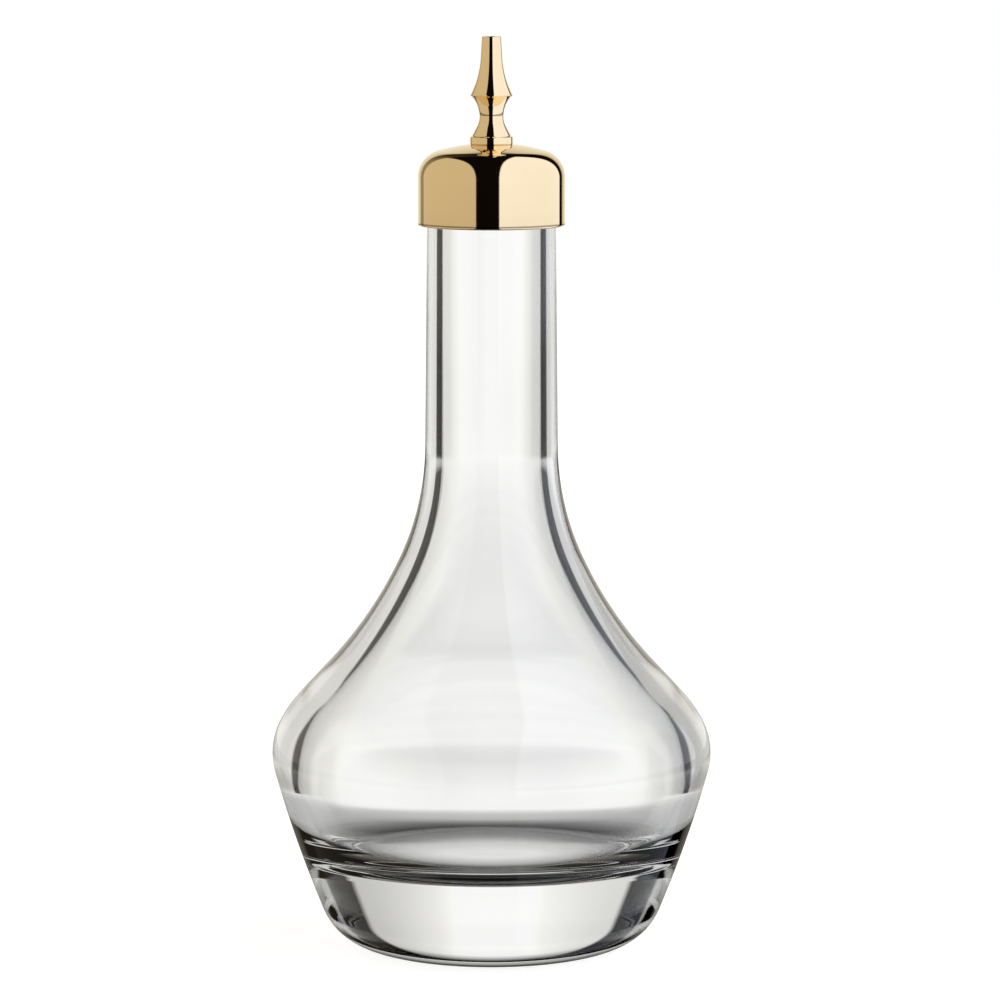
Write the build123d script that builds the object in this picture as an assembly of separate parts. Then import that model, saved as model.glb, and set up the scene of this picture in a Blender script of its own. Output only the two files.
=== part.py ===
"""Glass bitters bottle with a lift-off dasher top.

Millimetres, +Z up, origin at the centre of the flat base. Every piece is a body of revolution about Z
except the clamp nut, so outlines are drawn as radius against height and then turned about Z.
"""

import os
from math import asin, cos, degrees, radians, sin, tan

from build123d import *

# Glass bottle, outside
mouth_height = 129.2
neck_foot_height = 82.8
neck_foot_radius = 10.9
neck_taper = 0.6
upper_sweep_radius = 44.2
upper_sweep_angle = 24.8
lower_sweep_radius = 68.2
shoulder_angle = 42.8
shoulder_round = 24.3
shoulder_round_angle = 29.5
belly_radius = 36.28
belly_round = 10.9
flank_radius = 198.0
flank_start_angle = 15.4
heel_round = 9.8
rim_outer_round = 1.1
rim_inner_bevel = 0.35

# Glass bottle, inside
bore_radius = 8.1
bore_foot_drop = 1.8
neck_foot_wall = 3.0
body_wall = 4.6
floor_height = 14.6
floor_corner_round = 6.0

# Metal cap
cap_radius = 12.0
cap_overlap = 10.0
cap_wall = 0.8
cap_corner_round = 4.4
cap_corner_drop = 2.07
cap_crown_angle = 16.25
cap_inner_bevel = 2.2
cap_lip_bevel = 0.3

# Pourer
flange_radius = 3.5
flange_thickness = 1.3
flange_bevel = 0.15
spout_height = 17.58
ring_radius = 3.45
ring_rise = 8.0
under_ring_round = 4.55
under_ring_angle = 48.0
waist_round = 3.6
foot_angle = 28.0
over_ring_round = 15.2
over_ring_angle = 27.5
tip_taper = 3.5
tip_bevel = 0.15
outlet_radius = 0.75

# Stem, liner, plug and clamp
stem_radius = 1.75
stem_bore_radius = 0.9
stem_engagement = 2.3
stem_recess = 0.1
liner_thickness = 1.2
liner_radius = 8.9
liner_edge_bevel = 0.4
plug_length = 7.0
plug_rib_count = 3
plug_rib_width = 1.3
plug_groove_depth = 0.5
plug_lead_in = 0.6
washer_radius = 6.0
washer_thickness = 0.8
nut_across_flats = 6.0
nut_thickness = 1.9

# Clearances on radius
plug_clearance = 0.05
turning_clearance = 0.05
loose_clearance = 0.1
thread_clearance = 0.02

# Sizes that follow from the values above
crown_underside = mouth_height + liner_thickness
cap_bottom = mouth_height - cap_overlap
cap_corner_height = mouth_height - cap_corner_drop
plug_bottom = mouth_height - plug_length
washer_bottom = plug_bottom - washer_thickness
nut_bottom = washer_bottom - nut_thickness
stem_bottom = cap_bottom + stem_recess
crown_edge_radius = cap_radius - cap_corner_round * (1 - sin(radians(cap_crown_angle)))
crown_dome_radius = crown_edge_radius / sin(radians(cap_crown_angle))
seat_slope = degrees(asin(flange_radius / crown_dome_radius))
crown_edge_height = cap_corner_height + cap_corner_round * cos(radians(cap_crown_angle))
seat_height = crown_edge_height + crown_dome_radius * (
    cos(radians(seat_slope)) - cos(radians(cap_crown_angle))
)
stem_top = seat_height + stem_engagement
tip_height = seat_height + spout_height


def heading(angle):
    """Direction in the radius-height plane, by its angle from straight down with outwards positive."""
    return (sin(radians(angle)), -cos(radians(angle)))


def walk(start, angle, steps):
    """Edges and end point of a smooth path of straights (length) and arcs (radius, new angle)."""
    edges = []
    point = Vector(*start)
    for step in steps:
        if len(step) == 1:
            edge = Line(point, point + Vector(*heading(angle)) * step[0])
        else:
            edge = JernArc(point, heading(angle), step[0], step[1] - angle)
            angle = step[1]
        edges.append(edge)
        point = edge @ 1
    return edges, point


def corner_at(face, point):
    """The vertex of a flat face nearest to a point of the outline."""
    return face.vertices().sort_by_distance(Vector(point))[0]


def turned(face):
    """The solid swept by a radius-height face about Z."""
    return revolve(Plane.XZ * face, Axis.Z)


def ring(inner, outer, bottom, height):
    """A plain ring standing on a height."""
    return Pos(0, 0, bottom) * extrude(Circle(outer) - Circle(inner), height)


def glass_side(start, angle, neck_wall, wall, bottom):
    """Smooth path from the foot of the neck to a height, set in from the outside by the walls."""
    steps = [
        (upper_sweep_radius + neck_wall, upper_sweep_angle),
        (lower_sweep_radius + wall, shoulder_angle),
        (shoulder_round - wall, shoulder_round_angle),
        (belly_round - wall, 0.0),
    ]
    gain = 0.0
    now = angle
    for radius, new_angle in steps:
        gain += radius * abs(cos(radians(now)) - cos(radians(new_angle)))
        now = new_angle
    cone = (belly_radius - wall - start[0] - gain) / sin(radians(shoulder_angle))
    steps.insert(2, (cone,))
    steps.append((belly_round - wall, -flank_start_angle))
    side, point = walk(start, angle, steps)
    radius = flank_radius - wall
    end_sine = sin(radians(flank_start_angle)) + (point.Y - bottom) / radius
    flank, end = walk(point, -flank_start_angle, [(radius, -degrees(asin(end_sine)))])
    return side + flank, end


def make_bottle():
    """Heavy glass body with a straight bore, a belly and a solid base."""
    rim_radius = neck_foot_radius - (mouth_height - neck_foot_height) * tan(radians(neck_taper))
    foot = (neck_foot_radius, neck_foot_height)
    rim = (rim_radius, mouth_height)
    side, base_corner = glass_side(foot, neck_taper, 0.0, 0.0, 0.0)
    rest = Polyline(base_corner, (0, 0), (0, mouth_height), rim, foot)
    outer = make_face(Curve() + side + rest.edges())
    outer = fillet(corner_at(outer, base_corner), heel_round)
    outer = fillet(corner_at(outer, rim), rim_outer_round)

    bore_foot = (bore_radius, neck_foot_height - bore_foot_drop)
    bore_rim = (bore_radius, mouth_height)
    side, floor_corner = glass_side(bore_foot, 0.0, neck_foot_wall, body_wall, floor_height)
    rest = Polyline(floor_corner, (0, floor_height), (0, mouth_height), bore_rim, bore_foot)
    inner = make_face(Curve() + side + rest.edges())
    inner = fillet(corner_at(inner, floor_corner), floor_corner_round)

    wall = outer - inner
    wall = chamfer(corner_at(wall, bore_rim), rim_inner_bevel)
    return turned(wall)


def make_cap_shell():
    """Cap turned with a domed crown, a flat seat for the pourer and a thin skirt round the neck."""
    seat_edge = (flange_radius, seat_height)
    crown = [
        (crown_dome_radius, 90 - cap_crown_angle),
        (cap_corner_round, 0.0),
        (cap_corner_height - cap_bottom,),
    ]
    side, lip = walk(seat_edge, 90 - seat_slope, crown)
    hole = stem_radius + loose_clearance
    inside = cap_radius - cap_wall
    inner_corner = (inside, crown_underside)
    rest = Polyline(
        lip,
        (inside, cap_bottom),
        inner_corner,
        (hole, crown_underside),
        (hole, seat_height),
        seat_edge,
    )
    face = make_face(Curve() + side + rest.edges())
    face = chamfer(corner_at(face, inner_corner), cap_inner_bevel)
    face = chamfer(corner_at(face, lip), cap_lip_bevel)
    face = chamfer(corner_at(face, (inside, cap_bottom)), cap_lip_bevel)
    return turned(face)


def make_spout():
    """Pourer turned from bar: flange, waist, sharp ring, tapering tip and a bore right through."""
    ring_edge = (ring_radius, seat_height + ring_rise)
    flange_top = seat_height + flange_thickness
    low = [(under_ring_round, 0.0), (waist_round, foot_angle)]
    waist, waist_end = walk(ring_edge, -under_ring_angle, low)
    foot_length = (waist_end.Y - flange_top) / cos(radians(foot_angle))
    foot, foot_end = walk(waist_end, foot_angle, [(foot_length,)])
    high = [(over_ring_round, 180 + tip_taper)]
    neck, neck_end = walk(ring_edge, 180 + over_ring_angle, high)
    tip_length = (tip_height - neck_end.Y) / cos(radians(tip_taper))
    tip, tip_end = walk(neck_end, 180 + tip_taper, [(tip_length,)])
    socket = stem_radius + thread_clearance
    flange_corner = (flange_radius, flange_top)
    rest = Polyline(
        foot_end,
        flange_corner,
        (flange_radius, seat_height),
        (socket, seat_height),
        (socket, stem_top),
        (outlet_radius, stem_top),
        (outlet_radius, tip_height),
        tip_end,
    )
    face = make_face(Curve() + waist + foot + neck + tip + rest.edges())
    face = chamfer(corner_at(face, flange_corner), flange_bevel)
    face = chamfer(corner_at(face, tip_end), tip_bevel)
    return turned(face)


def make_stem():
    """Threaded tube that joins the pourer to the clamp nut."""
    return ring(stem_bore_radius, stem_radius, stem_bottom, stem_top - stem_bottom)


def make_liner():
    """Soft disc between the mouth of the glass and the underside of the crown."""
    liner = ring(stem_radius + turning_clearance, liner_radius, mouth_height, liner_thickness)
    top_edge = liner.edges().filter_by(GeomType.CIRCLE).sort_by(SortBy.RADIUS)[-2:].sort_by(Axis.Z)[-1]
    return chamfer(top_edge, liner_edge_bevel)


def make_plug():
    """Soft plug with sealing ribs that fills the top of the bore."""
    crest = bore_radius - plug_clearance
    plug = ring(stem_radius + turning_clearance, crest, plug_bottom, plug_length)
    low_edge = plug.edges().filter_by(GeomType.CIRCLE).sort_by(SortBy.RADIUS)[-2:].sort_by(Axis.Z)[0]
    plug = chamfer(low_edge, plug_lead_in)
    pitch = (plug_length - plug_rib_width) / (plug_rib_count - 1)
    for index in range(plug_rib_count - 1):
        bottom = plug_bottom + plug_rib_width + index * pitch
        plug -= ring(crest - plug_groove_depth, bore_radius, bottom, pitch - plug_rib_width)
    return plug


def make_washer():
    """Flat washer under the plug."""
    return ring(stem_radius + loose_clearance, washer_radius, washer_bottom, washer_thickness)


def make_nut():
    """Thin hexagon nut that clamps the stack on the stem."""
    outline = RegularPolygon(nut_across_flats / 2, 6, major_radius=False)
    return Pos(0, 0, nut_bottom) * extrude(outline - Circle(stem_radius + thread_clearance), nut_thickness)


nodes = {
    "bottle": make_bottle(),
    "stopper_plug": make_plug(),
    "cap_liner": make_liner(),
    "cap_shell": make_cap_shell(),
    "spout": make_spout(),
    "stem_tube": make_stem(),
    "clamp_washer": make_washer(),
    "clamp_nut": make_nut(),
}

os.makedirs("parts", exist_ok=True)
for name, shape in nodes.items():
    export_step(shape, f"parts/{name}.step")
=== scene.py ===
"""Bitters bottle with a lift-off dasher top, in metres, with +Z up and the origin at the centre of the base.

Nearly every piece is an outline of radius against height that is turned about Z. The glass is one closed
wall, so light bends at its outer and its inner face as in the real bottle.
"""

import bpy
import numpy as np
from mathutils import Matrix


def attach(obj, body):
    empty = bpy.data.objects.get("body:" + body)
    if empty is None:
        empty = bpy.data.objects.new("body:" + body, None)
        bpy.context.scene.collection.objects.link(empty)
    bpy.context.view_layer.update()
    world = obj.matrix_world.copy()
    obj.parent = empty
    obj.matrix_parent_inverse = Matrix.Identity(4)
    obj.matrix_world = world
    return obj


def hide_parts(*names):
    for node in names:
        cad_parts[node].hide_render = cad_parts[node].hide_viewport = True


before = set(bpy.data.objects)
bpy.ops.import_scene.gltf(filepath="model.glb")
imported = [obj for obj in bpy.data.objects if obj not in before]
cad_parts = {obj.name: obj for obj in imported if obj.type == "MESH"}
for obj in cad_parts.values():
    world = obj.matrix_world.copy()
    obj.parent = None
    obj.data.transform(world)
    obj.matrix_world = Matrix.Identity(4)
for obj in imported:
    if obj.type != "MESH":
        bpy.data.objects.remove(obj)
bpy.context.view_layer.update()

# The bottle
# Heavy clear glass, pressed and blown: a straight neck, a long sweep out to the belly, a tapering flank
# and a thick solid base. The hollow follows the outside at the shoulder and ends in a rounded floor.


def sweep(start, angle, steps, spacing):
    """Points of radius and height along a smooth path.

    A step of one number is a straight of that length. A step of two is an arc of a radius that turns the
    heading to a new angle. The heading is measured from straight down, with outwards positive, so that a
    move of s changes the radius by s times its sine and the height by minus s times its cosine.
    """
    points = [np.array(start, float)]
    for step in steps:
        here = points[-1]
        a = np.radians(angle)
        if len(step) == 1:
            count = max(int(abs(step[0]) / spacing), 1)
            s = np.linspace(0, step[0], count + 1)[1:]
            run = np.stack([np.sin(a) * s, -np.cos(a) * s], 1)
        else:
            b = np.radians(step[1])
            widest_turn = 0.12
            count = max(int(abs(b - a) * step[0] / spacing), int(abs(b - a) / widest_turn), 2)
            t = np.linspace(a, b, count + 1)[1:]
            side = np.sign(b - a)
            run = side * step[0] * np.stack([np.cos(a) - np.cos(t), np.sin(a) - np.sin(t)], 1)
            angle = step[1]
        points.extend(here + run)
    return np.array(points)


def solid(name, points, faces):
    """A mesh object in the scene, from its points and the faces between them."""
    mesh = bpy.data.meshes.new(name)
    mesh.from_pydata(points, [], faces)
    obj = bpy.data.objects.new(name, mesh)
    bpy.context.scene.collection.objects.link(obj)
    return obj


def turned(name, profile, around):
    """A closed surface from an outline of radius r and height z: point j at angle p is r cos p, r sin p, z.

    A point on the axis is one vertex with a fan of triangles. Where the outline doesn't end on the axis it
    is closed back to its start.
    """
    r, z = profile[:, 0], profile[:, 1]
    open_ends = r[0] < 1e-9 and r[-1] < 1e-9
    rings = np.arange(1, len(r) - 1) if open_ends else np.arange(len(r))
    p = np.linspace(0, 2 * np.pi, around, endpoint=False)
    radii = np.repeat(r[rings, None], around, 1)
    heights = np.repeat(z[rings, None], around, 1)
    verts = np.stack([radii * np.cos(p), radii * np.sin(p), heights], 2).reshape(-1, 3)
    n = len(rings)
    last = n - 1 if open_ends else n
    i = np.arange(last)[:, None] * around
    up = (np.arange(1, last + 1)[:, None] % n) * around
    j = np.arange(around)[None, :]
    k = (j + 1) % around
    faces = np.stack([i + j, i + k, up + k, up + j], 2).reshape(-1, 4).tolist()
    if open_ends:
        low, high = len(verts), len(verts) + 1
        verts = np.vstack([verts, [[0, 0, z[0]], [0, 0, z[-1]]]])
        top = (n - 1) * around
        faces += [[low, int(b), int(a)] for a, b in zip(j[0], k[0])]
        faces += [[high, int(top + a), int(top + b)] for a, b in zip(j[0], k[0])]
    obj = solid(name, verts.tolist(), faces)
    obj.data.polygons.foreach_set("use_smooth", np.ones(len(faces), bool))
    obj.data.update()
    return obj


def glass_outline(start, angle, belly, neck_wall, wall, belly_round, bottom, corner):
    """Path from a neck foot over the shoulder and the belly to the axis at a flat bottom.

    Each arc of the outside is kept, with the wall added where it is hollow and taken off where it is round.
    The straight of the shoulder is as long as the belly radius still needs after the arcs, and the flank
    turns until the rounded corner meets the bottom flat.
    """
    spacing = 0.0008
    headings = [24.8, 42.8, 29.5, 0.0]
    flank_heading = 15.4
    radii = [0.0442 + neck_wall, 0.0682 + wall, 0.0243 - wall, belly_round]
    flank = 0.198 - wall
    arcs = list(zip(radii, headings))
    turns = np.cos(np.radians([angle, *headings]))
    gain = sum(radius * abs(turns[i] - turns[i + 1]) for i, radius in enumerate(radii))
    cone = (belly - start[0] - gain) / np.sin(np.radians(headings[1]))
    steps = arcs[:2] + [(cone,)] + arcs[2:] + [(belly_round, -flank_heading)]
    here = sweep(start, angle, steps, spacing)[-1]
    rise = here[1] - bottom + flank * np.sin(np.radians(flank_heading)) - corner
    turn = np.degrees(np.arcsin(rise / (flank - corner)))
    steps += [(flank, -turn), (corner, -90)]
    path = sweep(start, angle, steps, spacing)
    floor = np.linspace(path[-1], [0, bottom], 12)[1:]
    return np.vstack([path, floor])


mouth = 0.1292
neck_foot = (0.0109, 0.0828)
bore_foot = (0.0081, 0.081)
lean = 0.6
rim_round = 0.0011
bore_bevel = 0.0004
rim = neck_foot[0] - (mouth - neck_foot[1]) * np.tan(np.radians(lean))
outer_rim = sweep((rim - rim_round, mouth), 90, [(rim_round, lean)], 0.0002)
outer = glass_outline(
    neck_foot,
    lean,
    belly=0.03625,
    neck_wall=0.0,
    wall=0.0,
    belly_round=0.0109,
    bottom=0.0,
    corner=0.0098,
)
inner_rim = sweep((bore_foot[0] + bore_bevel, mouth), -90, [(bore_bevel, 0.0)], 0.0001)
inner = glass_outline(
    bore_foot,
    0.0,
    belly=0.03168,
    neck_wall=0.003,
    wall=0.0046,
    belly_round=0.012,
    bottom=0.0155,
    corner=0.0095,
)
neck_out = np.linspace(outer_rim[-1], outer[0], 24)[1:-1]
neck_in = np.linspace(inner_rim[-1], inner[0], 24)[1:-1]
outside = np.vstack([outer_rim, neck_out, outer])[::-1]
inside = np.vstack([inner_rim, neck_in, inner])
bottle = turned("glass_bottle", np.vstack([outside, inside]), 256)
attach(bottle, "glass_body")
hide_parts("bottle")


def new_material(name):
    """An empty node material with its Principled shader, node list and link list."""
    material = bpy.data.materials.new(name)
    material.use_nodes = True
    nodes = material.node_tree.nodes
    return material, nodes["Principled BSDF"], nodes, material.node_tree.links


def bumped(shader, nodes, links, scale, distance, detail=2.0):
    """Fine unevenness: noise in object coordinates, as a bump of a given depth in metres."""
    place = nodes.new("ShaderNodeTexCoord")
    noise = nodes.new("ShaderNodeTexNoise")
    noise.inputs["Scale"].default_value = scale
    noise.inputs["Detail"].default_value = detail
    bump = nodes.new("ShaderNodeBump")
    bump.inputs["Strength"].default_value = 1.0
    bump.inputs["Distance"].default_value = distance
    links.new(place.outputs["Object"], noise.inputs["Vector"])
    links.new(noise.outputs["Fac"], bump.inputs["Height"])
    links.new(bump.outputs["Normal"], shader.inputs["Normal"])
    return noise


material, shader, nodes, links = new_material("clear_glass")
shader.inputs["Base Color"].default_value = (0.995, 1.0, 0.99, 1)
shader.inputs["Roughness"].default_value = 0.0
shader.inputs["IOR"].default_value = 1.5
shader.inputs["Transmission Weight"].default_value = 1.0
bumped(shader, nodes, links, 45.0, 0.00002)
bottle.data.materials.append(material)

# The pourer
# Turned from bar and plated: a flange that sits on the cap, a narrow waist, a sharp ring that breaks the
# drop, and a long tapering tip with a fine outlet down its middle.
seat = 0.13242
flange_top = seat + 0.0013
ring_edge = (0.00345, 0.14042)
waist_heading = 28
tip_lean = 3.5
tip_height = 0.15
lip_round = 0.00015
under_ring = sweep(ring_edge, -48, [(0.00455, 0), (0.0036, waist_heading)], 0.0001)
foot_drop = (under_ring[-1][1] - flange_top) / np.cos(np.radians(waist_heading))
foot = sweep(under_ring[-1], waist_heading, [(foot_drop,)], 0.0002)
flange = sweep((0.0033, flange_top), 90, [(0.0002, 0), (0.00095,), (0.00015, -90)], 0.0001)
over_ring = sweep(ring_edge, 207.5, [(0.0152, 180 + tip_lean)], 0.0002)
tip_rise = (tip_height - lip_round - over_ring[-1][1]) / np.cos(np.radians(tip_lean))
tip = sweep(over_ring[-1], 180 + tip_lean, [(tip_rise,)], 0.0003)
quarter = np.linspace(0, np.pi / 2, 5)
lip_radius = tip[-1][0] - lip_round * (1 - np.cos(quarter))
lip = np.stack([lip_radius, tip_height - lip_round + lip_round * np.sin(quarter)], 1)
outlet = np.array([[0.00078, tip_height], [0.00075, 0.14996], [0.00075, 0.1347]])
socket = np.array([[0.00177, 0.1347], [0.00177, seat]])
low_half = np.vstack([flange[::-1], foot[::-1], under_ring[::-1][1:]])
high_half = np.vstack([over_ring[1:], tip[1:], lip[1:]])
spout = turned("dasher_spout", np.vstack([low_half, high_half, outlet, socket]), 128)
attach(spout, "metal_top")
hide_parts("spout")


def mapped(nodes, links, value, low, high):
    """A value between 0 and 1, spread between a low and a high end."""
    spread = nodes.new("ShaderNodeMapRange")
    spread.inputs["To Min"].default_value = low
    spread.inputs["To Max"].default_value = high
    links.new(value, spread.inputs["Value"])
    return spread.outputs["Result"]


def tinted(shader, nodes, links, value, colour, change):
    """The base colour, made darker and lighter by a share as a value goes from 0 to 1."""
    scale = nodes.new("ShaderNodeVectorMath")
    scale.operation = "SCALE"
    scale.inputs[0].default_value = colour
    links.new(mapped(nodes, links, value, 1 - change, 1 + change), scale.inputs["Scale"])
    links.new(scale.outputs["Vector"], shader.inputs["Base Color"])


def plated(name, colour, ring_scale):
    """Turned and polished metal: fine rings round the axis in the roughness and a faint warm cloud."""
    material, shader, nodes, links = new_material(name)
    place = nodes.new("ShaderNodeTexCoord")
    noise = nodes.new("ShaderNodeTexNoise")
    noise.inputs["Scale"].default_value = 60.0
    stretch = nodes.new("ShaderNodeMapping")
    stretch.inputs["Scale"].default_value = (1.0, 1.0, ring_scale)
    marks = nodes.new("ShaderNodeTexNoise")
    marks.inputs["Scale"].default_value = 40.0
    links.new(place.outputs["Object"], noise.inputs["Vector"])
    links.new(place.outputs["Object"], stretch.inputs["Vector"])
    links.new(stretch.outputs["Vector"], marks.inputs["Vector"])
    links.new(mapped(nodes, links, marks.outputs["Fac"], 0.03, 0.06), shader.inputs["Roughness"])
    tinted(shader, nodes, links, noise.outputs["Fac"], colour, 0.04)
    shader.inputs["Metallic"].default_value = 1.0
    return material


gold = plated("gold_plate", (0.97, 0.78, 0.47), 60.0)
spout.data.materials.append(gold)

# The stem
# A short threaded tube screws into the foot of the pourer and carries the liquid up to it. Its thread is
# shown as fine rings.
stem_foot = 0.1193
stem_head = 0.13472
z = np.arange(stem_foot, stem_head, 0.00006)
thread = 0.00169 + 0.00006 * np.sin(2 * np.pi * z / 0.0006)
stem_out = np.stack([thread, z], 1)
stem_in = np.array([[0.0009, stem_head], [0.0009, stem_foot]])
stem = turned("stem_tube_thread", np.vstack([stem_out, stem_in]), 64)
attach(stem, "metal_top")
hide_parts("stem_tube")
stem.data.materials.append(plated("turned_brass", (0.8, 0.62, 0.34), 400.0))

# The cap
# A turned cap with a shallow dome, a rounded shoulder and a thin skirt that hangs loosely round the neck.
# The inside of the crown is flat, and bears on the liner.
cap_radius = 0.012
shoulder_round = 0.0044
crown_angle = 16.25
crown_under = 0.1304
skirt_foot = 0.1192
crown_edge = cap_radius - shoulder_round * (1 - np.sin(np.radians(crown_angle)))
dome = crown_edge / np.sin(np.radians(crown_angle))
slope = np.degrees(np.arcsin(0.0035 / dome))
down = [(dome, 90 - crown_angle), (shoulder_round, 0), (0.00758,), (0.00035, -90)]
side = sweep((0.0035, seat), 90 - slope, down, 0.0003)
under = sweep((0.01155, skirt_foot), 270, [(0.00035, 180)], 0.0001)
skirt = sweep(under[-1], 180, [(0.1278 - under[-1][1],), (0.0026, 270)], 0.0004)
hole = np.array([[0.00185, crown_under], [0.00185, seat]])
cap = turned("dasher_cap", np.vstack([side, under, skirt, hole])[::-1], 256)
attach(cap, "metal_top")
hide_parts("cap_shell")
cap.data.materials.append(gold)

# The liner
# A soft white disc inside the crown that the mouth of the glass presses on. Its upper edge is bevelled
# to clear the inner corner of the cap.
soft_hole = 0.0018
liner_low = [[soft_hole, mouth], [0.00885, mouth], [0.0089, 0.12925]]
liner_high = [[0.0089, 0.13], [0.0085, crown_under], [soft_hole, crown_under]]
liner = turned("soft_liner", np.array(liner_low + liner_high), 128)
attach(liner, "soft_stopper")
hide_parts("cap_liner")


def silicone(name, colour):
    """Soft rubber: a slightly mottled matte colour with fine grain in the surface."""
    material, shader, nodes, links = new_material(name)
    grain = bumped(shader, nodes, links, 900.0, 0.00002, 3.0)
    tinted(shader, nodes, links, grain.outputs["Fac"], colour, 0.06)
    shader.inputs["Roughness"].default_value = 0.6
    return material


liner.data.materials.append(silicone("white_silicone", (0.8, 0.79, 0.76)))

# The plug
# Soft grey plug round the stem. Three rounded ribs seal against the bore and the lower edge leads in.
# Its radius is that of the ribs, less a groove that deepens with the square of the distance from a rib.
plug_foot = 0.1222
rib_spacing = 0.00285
groove = 0.0005
plug_z = np.linspace(plug_foot, mouth, 141)
off_rib = np.abs(((plug_z - plug_foot - 0.00065) / rib_spacing + 0.5) % 1 - 0.5) * rib_spacing
plug_r = 0.00805 - np.clip((off_rib - 0.0005) / 0.0003, 0, 1) ** 2 * groove
plug_r = np.minimum(plug_r, 0.00745 + (plug_z - plug_foot))
plug_edge = np.vstack([np.stack([plug_r, plug_z], 1), [[soft_hole, mouth], [soft_hole, plug_foot]]])
plug = turned("ribbed_plug", plug_edge, 128)
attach(plug, "soft_stopper")
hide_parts("stopper_plug")
plug.data.materials.append(silicone("grey_silicone", (0.62, 0.62, 0.6)))

# The washer
# A flat steel washer with rolled edges that spreads the clamp over the soft plug.
washer_foot = 0.1214
washer_out = sweep((0.0059, plug_foot), 90, [(0.0001, 0), (0.0006,), (0.0001, -90)], 0.00005)
washer_in = sweep((0.00195, washer_foot), 270, [(0.0001, 180), (0.0006,), (0.0001, 90)], 0.00005)
washer = turned("steel_washer", np.vstack([washer_out, washer_in])[::-1], 128)
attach(washer, "metal_top")
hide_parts("clamp_washer")


def steel(name):
    """Plain steel: a grey metal with fine streaks that vary its roughness."""
    material, shader, nodes, links = new_material(name)
    streaks = bumped(shader, nodes, links, 600.0, 0.000004, 4.0)
    links.new(mapped(nodes, links, streaks.outputs["Fac"], 0.25, 0.42), shader.inputs["Roughness"])
    shader.inputs["Base Color"].default_value = (0.6, 0.6, 0.61, 1)
    shader.inputs["Metallic"].default_value = 1.0
    return material


washer.data.materials.append(steel("washer_steel"))

# The nut
# A thin hexagon nut. Its radius at an angle is the flat's distance over the cosine of the angle from the
# flat's middle, cut to a circle near the faces where the corners are turned off.
count = 96
around = np.linspace(0, 2 * np.pi, count, endpoint=False)
hexagon = 0.003 / np.cos((around % (np.pi / 3)) - np.pi / 6)
levels = np.array([0.1195, 0.1198, 0.1211, washer_foot])
limits = np.array([0.00315, 0.00346, 0.00346, 0.00315])
outer_ring = np.minimum(hexagon[None, :], limits[:, None])
inner_ring = np.full((4, count), 0.00177)
radius = np.vstack([outer_ring, inner_ring])
height = np.repeat(np.concatenate([levels, levels[::-1]])[:, None], count, 1)
points = np.stack([radius * np.cos(around), radius * np.sin(around), height], 2)
i = np.arange(8)[:, None] * count
k = ((np.arange(8)[:, None] + 1) % 8) * count
j = np.arange(count)[None, :]
q = (j + 1) % count
nut_faces = np.stack([i + j, i + q, k + q, k + j], 2).reshape(-1, 4)
nut = solid("clamp_nut_hex", points.reshape(-1, 3).tolist(), nut_faces.tolist())
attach(nut, "metal_top")
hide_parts("clamp_nut")
nut.data.materials.append(steel("nut_steel"))

# The floor and the backdrop
# A white table in a white room, plain white to the camera. Metal and glass see a studio round them, whose
# walls, cards and bright sweep draw the dark and the light lines in them.


def ramp_of(nodes, links, value, stops, way="LINEAR"):
    """A colour ramp of a value between -1 and 1, from pairs of a place and a colour or a grey level."""
    share = nodes.new("ShaderNodeMapRange")
    share.inputs["From Min"].default_value = -1.0
    links.new(value, share.inputs["Value"])
    node = nodes.new("ShaderNodeValToRGB")
    node.color_ramp.interpolation = way
    ramp = node.color_ramp.elements
    while len(ramp) < len(stops):
        ramp.new(0.5)
    for stop, (place, colour) in zip(ramp, stops):
        stop.position = (place + 1) / 2
        stop.color = (*np.broadcast_to(colour, 3), 1)
    links.new(share.outputs["Result"], node.inputs["Fac"])
    return node.outputs["Color"]


def blend(nodes, links, factor, first, second):
    """The colour that goes from the first to the second as the factor goes from 0 to 1."""
    mix = nodes.new("ShaderNodeMixRGB")
    links.new(factor, mix.inputs[0])
    links.new(first, mix.inputs[1])
    links.new(second, mix.inputs[2])
    return mix.outputs[0]


def product(nodes, links, first, second):
    """One colour times another."""
    node = nodes.new("ShaderNodeVectorMath")
    node.operation = "MULTIPLY"
    links.new(first, node.inputs[0])
    links.new(second, node.inputs[1])
    return node.outputs[0]


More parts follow.
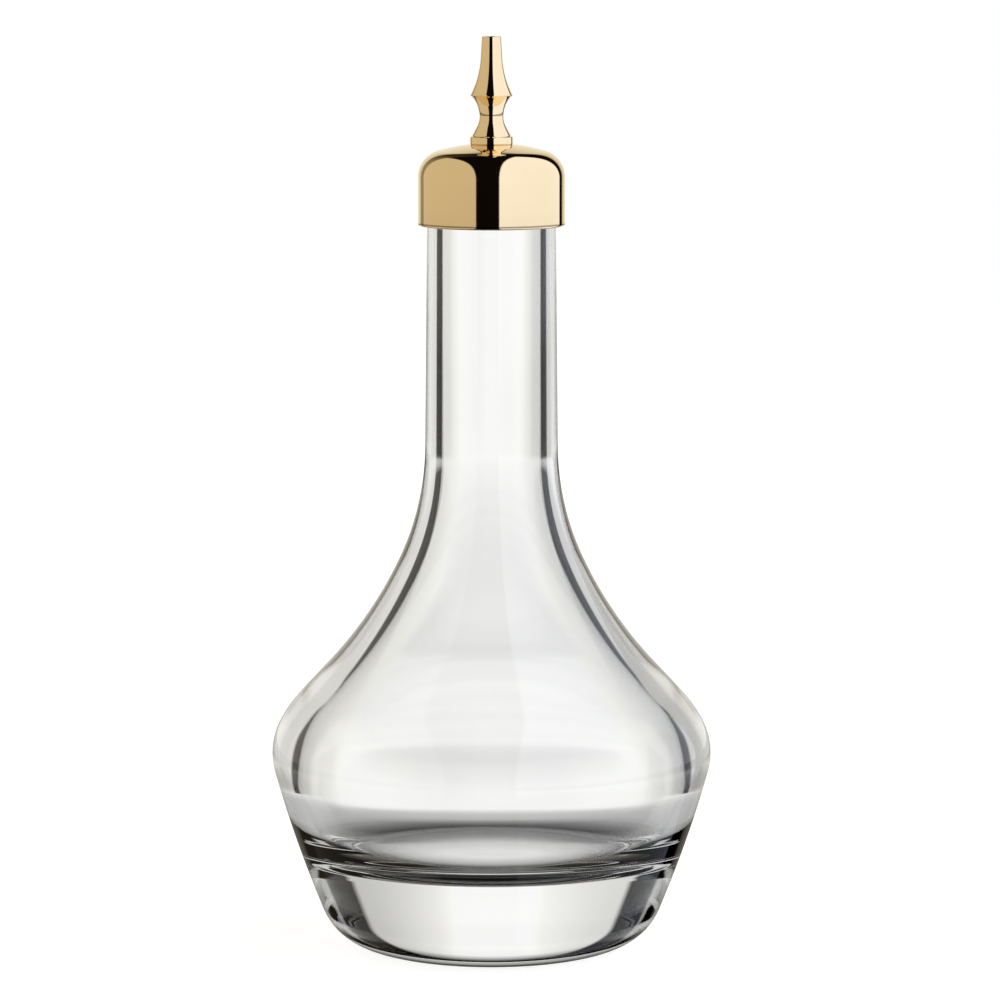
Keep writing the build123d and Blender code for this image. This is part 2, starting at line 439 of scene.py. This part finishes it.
def metal_light(nodes, links, x, y, z):
    """What metal mirrors: a tan wall on the left, a black gap, and a cream wall on the right, by x.

    The bright sweep takes over where y passes 0.81 to 0.86. A dark gap lies round it, where y less 0.35
    times the size of x passes 0.43 to 0.46. Just below level the light is dimmed, for the pourer's waist.
    """
    black = (0.004, 0.003, 0.002)
    tan = (0.63, 0.55, 0.43)
    cream = (1.03, 1.07, 1.28)
    cream_end = (1.0, 1.04, 1.2)
    stops = [(-1.0, tan), (-0.42, tan), (-0.4, black), (0.2, black), (0.22, cream), (1.0, cream_end)]
    walls = ramp_of(nodes, links, x, stops)
    gap = ramp_of(nodes, links, x, [(-0.6, (0.3, 0.25, 0.16)), (-0.3, (0.04, 0.03, 0.02)), (0.0, black)])
    spread = nodes.new("ShaderNodeMath")
    spread.operation = "ABSOLUTE"
    links.new(x, spread.inputs[0])
    shifted = nodes.new("ShaderNodeMath")
    shifted.operation = "MULTIPLY_ADD"
    shifted.inputs[1].default_value = -0.35
    links.new(spread.outputs[0], shifted.inputs[0])
    links.new(y, shifted.inputs[2])
    in_gap = ramp_of(nodes, links, shifted.outputs[0], [(0.43, 0), (0.46, 1)])
    on_sweep = ramp_of(nodes, links, y, [(0.81, 0), (0.86, 1)])
    sweep_light = ramp_of(nodes, links, y, [(0.8, (0.55, 0.5, 0.38)), (1.0, (0.9, 0.86, 0.76))])
    light = blend(nodes, links, in_gap, walls, gap)
    light = blend(nodes, links, on_sweep, light, sweep_light)
    dimmed = ramp_of(nodes, links, z, [(-0.2, 1), (-0.17, 0.35), (-0.085, 0.35), (-0.075, 1)])
    return product(nodes, links, light, dimmed)


def glass_light(nodes, links, x, y, z):
    """What shows through glass: a bright sweep behind, falling off to both sides, more on the right.

    Black cards stand on both sides where y is about 0.5 to 0.77, which is 40 to 60 degrees from straight
    behind, and the ceiling is dark. Rays that go down steeply see a plain light level instead.
    """
    falloff = [(-0.9, 0.9), (-0.6, 0.5), (-0.2, 0.8), (0.0, 1.1), (0.2, 0.75), (0.6, 0.3), (0.9, 0.9)]
    warm = 1.18 * np.array((1, 0.99, 0.965))
    stops = [(place, warm * level) for place, level in falloff]
    light = ramp_of(nodes, links, x, stops, "B_SPLINE")
    cards = [(-1.0, 0.9), (0.0, 0.8), (0.46, 0.7), (0.52, 0.004), (0.76, 0.004), (0.79, 1.0)]
    light = product(nodes, links, light, ramp_of(nodes, links, y, cards))
    light = product(nodes, links, light, ramp_of(nodes, links, z, [(0.45, 1.0), (0.6, 0.02)]))
    steep = ramp_of(nodes, links, z, [(-0.2, 1), (-0.16, 0)])
    plain = ramp_of(nodes, links, x, [(0.0, 0.9), (1.0, 1.0)])
    return blend(nodes, links, steep, light, plain)


def room_light(nodes, links, direction):
    """The studio as a colour for each direction, made one unit long first: x sideways, y away, z up."""
    unit = nodes.new("ShaderNodeVectorMath")
    unit.operation = "NORMALIZE"
    links.new(direction, unit.inputs[0])
    split = nodes.new("ShaderNodeSeparateXYZ")
    links.new(unit.outputs[0], split.inputs[0])
    for_metal = metal_light(nodes, links, *split.outputs)
    for_glass = glass_light(nodes, links, *split.outputs)
    path = nodes.new("ShaderNodeLightPath")
    return blend(nodes, links, path.outputs["Is Transmission Ray"], for_metal, for_glass)


def white_table(name):
    """A white table: plain white to the camera, and to metal and glass the room that lies onward.

    The ray's own direction picks the colour of the room, as if the table weren't there. For metal that is
    dimmed within 0.16 m, as a painted shade round the bottle. For glass the table has a painted level by
    its distance instead, up to about 0.2 m: painted light under the base, a painted shadow in a ring round
    its edge, and lighter again further out.
    """
    material, shader, nodes, links = new_material(name)
    surface = nodes.new("ShaderNodeNewGeometry")
    onward = nodes.new("ShaderNodeVectorMath")
    onward.operation = "SCALE"
    onward.inputs["Scale"].default_value = -1.0
    links.new(surface.outputs["Incoming"], onward.inputs[0])
    room = room_light(nodes, links, onward.outputs["Vector"])
    place = nodes.new("ShaderNodeTexCoord")
    off_centre = nodes.new("ShaderNodeVectorMath")
    off_centre.operation = "SUBTRACT"
    off_centre.inputs[1].default_value = (0.0, 0.008, 0.0)
    links.new(place.outputs["Object"], off_centre.inputs[0])
    length = nodes.new("ShaderNodeVectorMath")
    length.operation = "LENGTH"
    links.new(off_centre.outputs["Vector"], length.inputs[0])
    far_off = length.outputs["Value"]
    # Painted shadow and light on the table for glass: bright under the base, a dark ring of painted contact
    # shadow round its edge, lighter further out.
    painted_shadow_stops = [(0.014, 0.75), (0.018, 0.02), (0.034, 0.02), (0.05, 0.5), (0.1, 0.6), (0.2, 0.95)]
    painted_table_shadow = ramp_of(nodes, links, far_off, painted_shadow_stops)
    reach = ramp_of(nodes, links, far_off, [(0.19, 0), (0.26, 1)])
    for_glass = blend(nodes, links, reach, painted_table_shadow, room)
    # Painted shade for metal: the table is darker within 0.1 to 0.16 m of the bottle.
    for_metal = product(nodes, links, room, ramp_of(nodes, links, far_off, [(0.1, 0.25), (0.16, 1.0)]))
    path = nodes.new("ShaderNodeLightPath")
    room = blend(nodes, links, path.outputs["Is Transmission Ray"], for_metal, for_glass)
    white = nodes.new("ShaderNodeRGB")
    white.outputs[0].default_value = (0.88, 0.88, 0.88, 1)
    glow = blend(nodes, links, path.outputs["Is Camera Ray"], room, white.outputs[0])
    seen = nodes.new("ShaderNodeMath")
    seen.operation = "MAXIMUM"
    glossy = path.outputs["Is Glossy Ray"]
    links.new(glossy, seen.inputs[0])
    links.new(path.outputs["Is Camera Ray"], seen.inputs[1])
    links.new(glow, shader.inputs["Emission Color"])
    links.new(seen.outputs[0], shader.inputs["Emission Strength"])
    links.new(mapped(nodes, links, glossy, 0.5, 0.0), shader.inputs["Base Color"])
    shader.inputs["Roughness"].default_value = 1.0
    shader.inputs["Specular IOR Level"].default_value = 0.0
    return material


disc = np.linspace(0, 2 * np.pi, 96, endpoint=False)
table_radius = 1.2
edge = np.stack([table_radius * np.cos(disc), table_radius * np.sin(disc), np.zeros(96)], 1)
floor = solid("table_top", edge.tolist(), [list(range(96))])
floor.data.materials.append(white_table("table_white"))

world = bpy.data.worlds.new("room")
bpy.context.scene.world = world
world.use_nodes = True
nodes, links = world.node_tree.nodes, world.node_tree.links
place = nodes.new("ShaderNodeTexCoord")
path = nodes.new("ShaderNodeLightPath")
mix = nodes.new("ShaderNodeMixRGB")
mix.inputs[2].default_value = (1, 1, 1, 1)
links.new(path.outputs["Is Camera Ray"], mix.inputs[0])
links.new(room_light(nodes, links, place.outputs["Generated"]), mix.inputs[1])
links.new(mix.outputs[0], nodes["Background"].inputs["Color"])

# The camera
# Somewhat above the bottle's top at 0.8 m from its axis, tilted down a little, with a long lens.
camera_data = bpy.data.cameras.new("camera")
camera_data.sensor_width = 36.0
camera_data.lens = 176.45
camera_data.shift_x = 0.0085
camera_data.shift_y = -0.0062
camera = bpy.data.objects.new("camera", camera_data)
camera.location = (0, -0.8, 0.17656)
camera.rotation_euler = (np.pi / 2 - np.arctan2(0.10156, 0.8), 0, 0)
bpy.context.scene.collection.objects.link(camera)
bpy.context.scene.camera = camera
bpy.context.scene.view_settings.view_transform = "Standard"
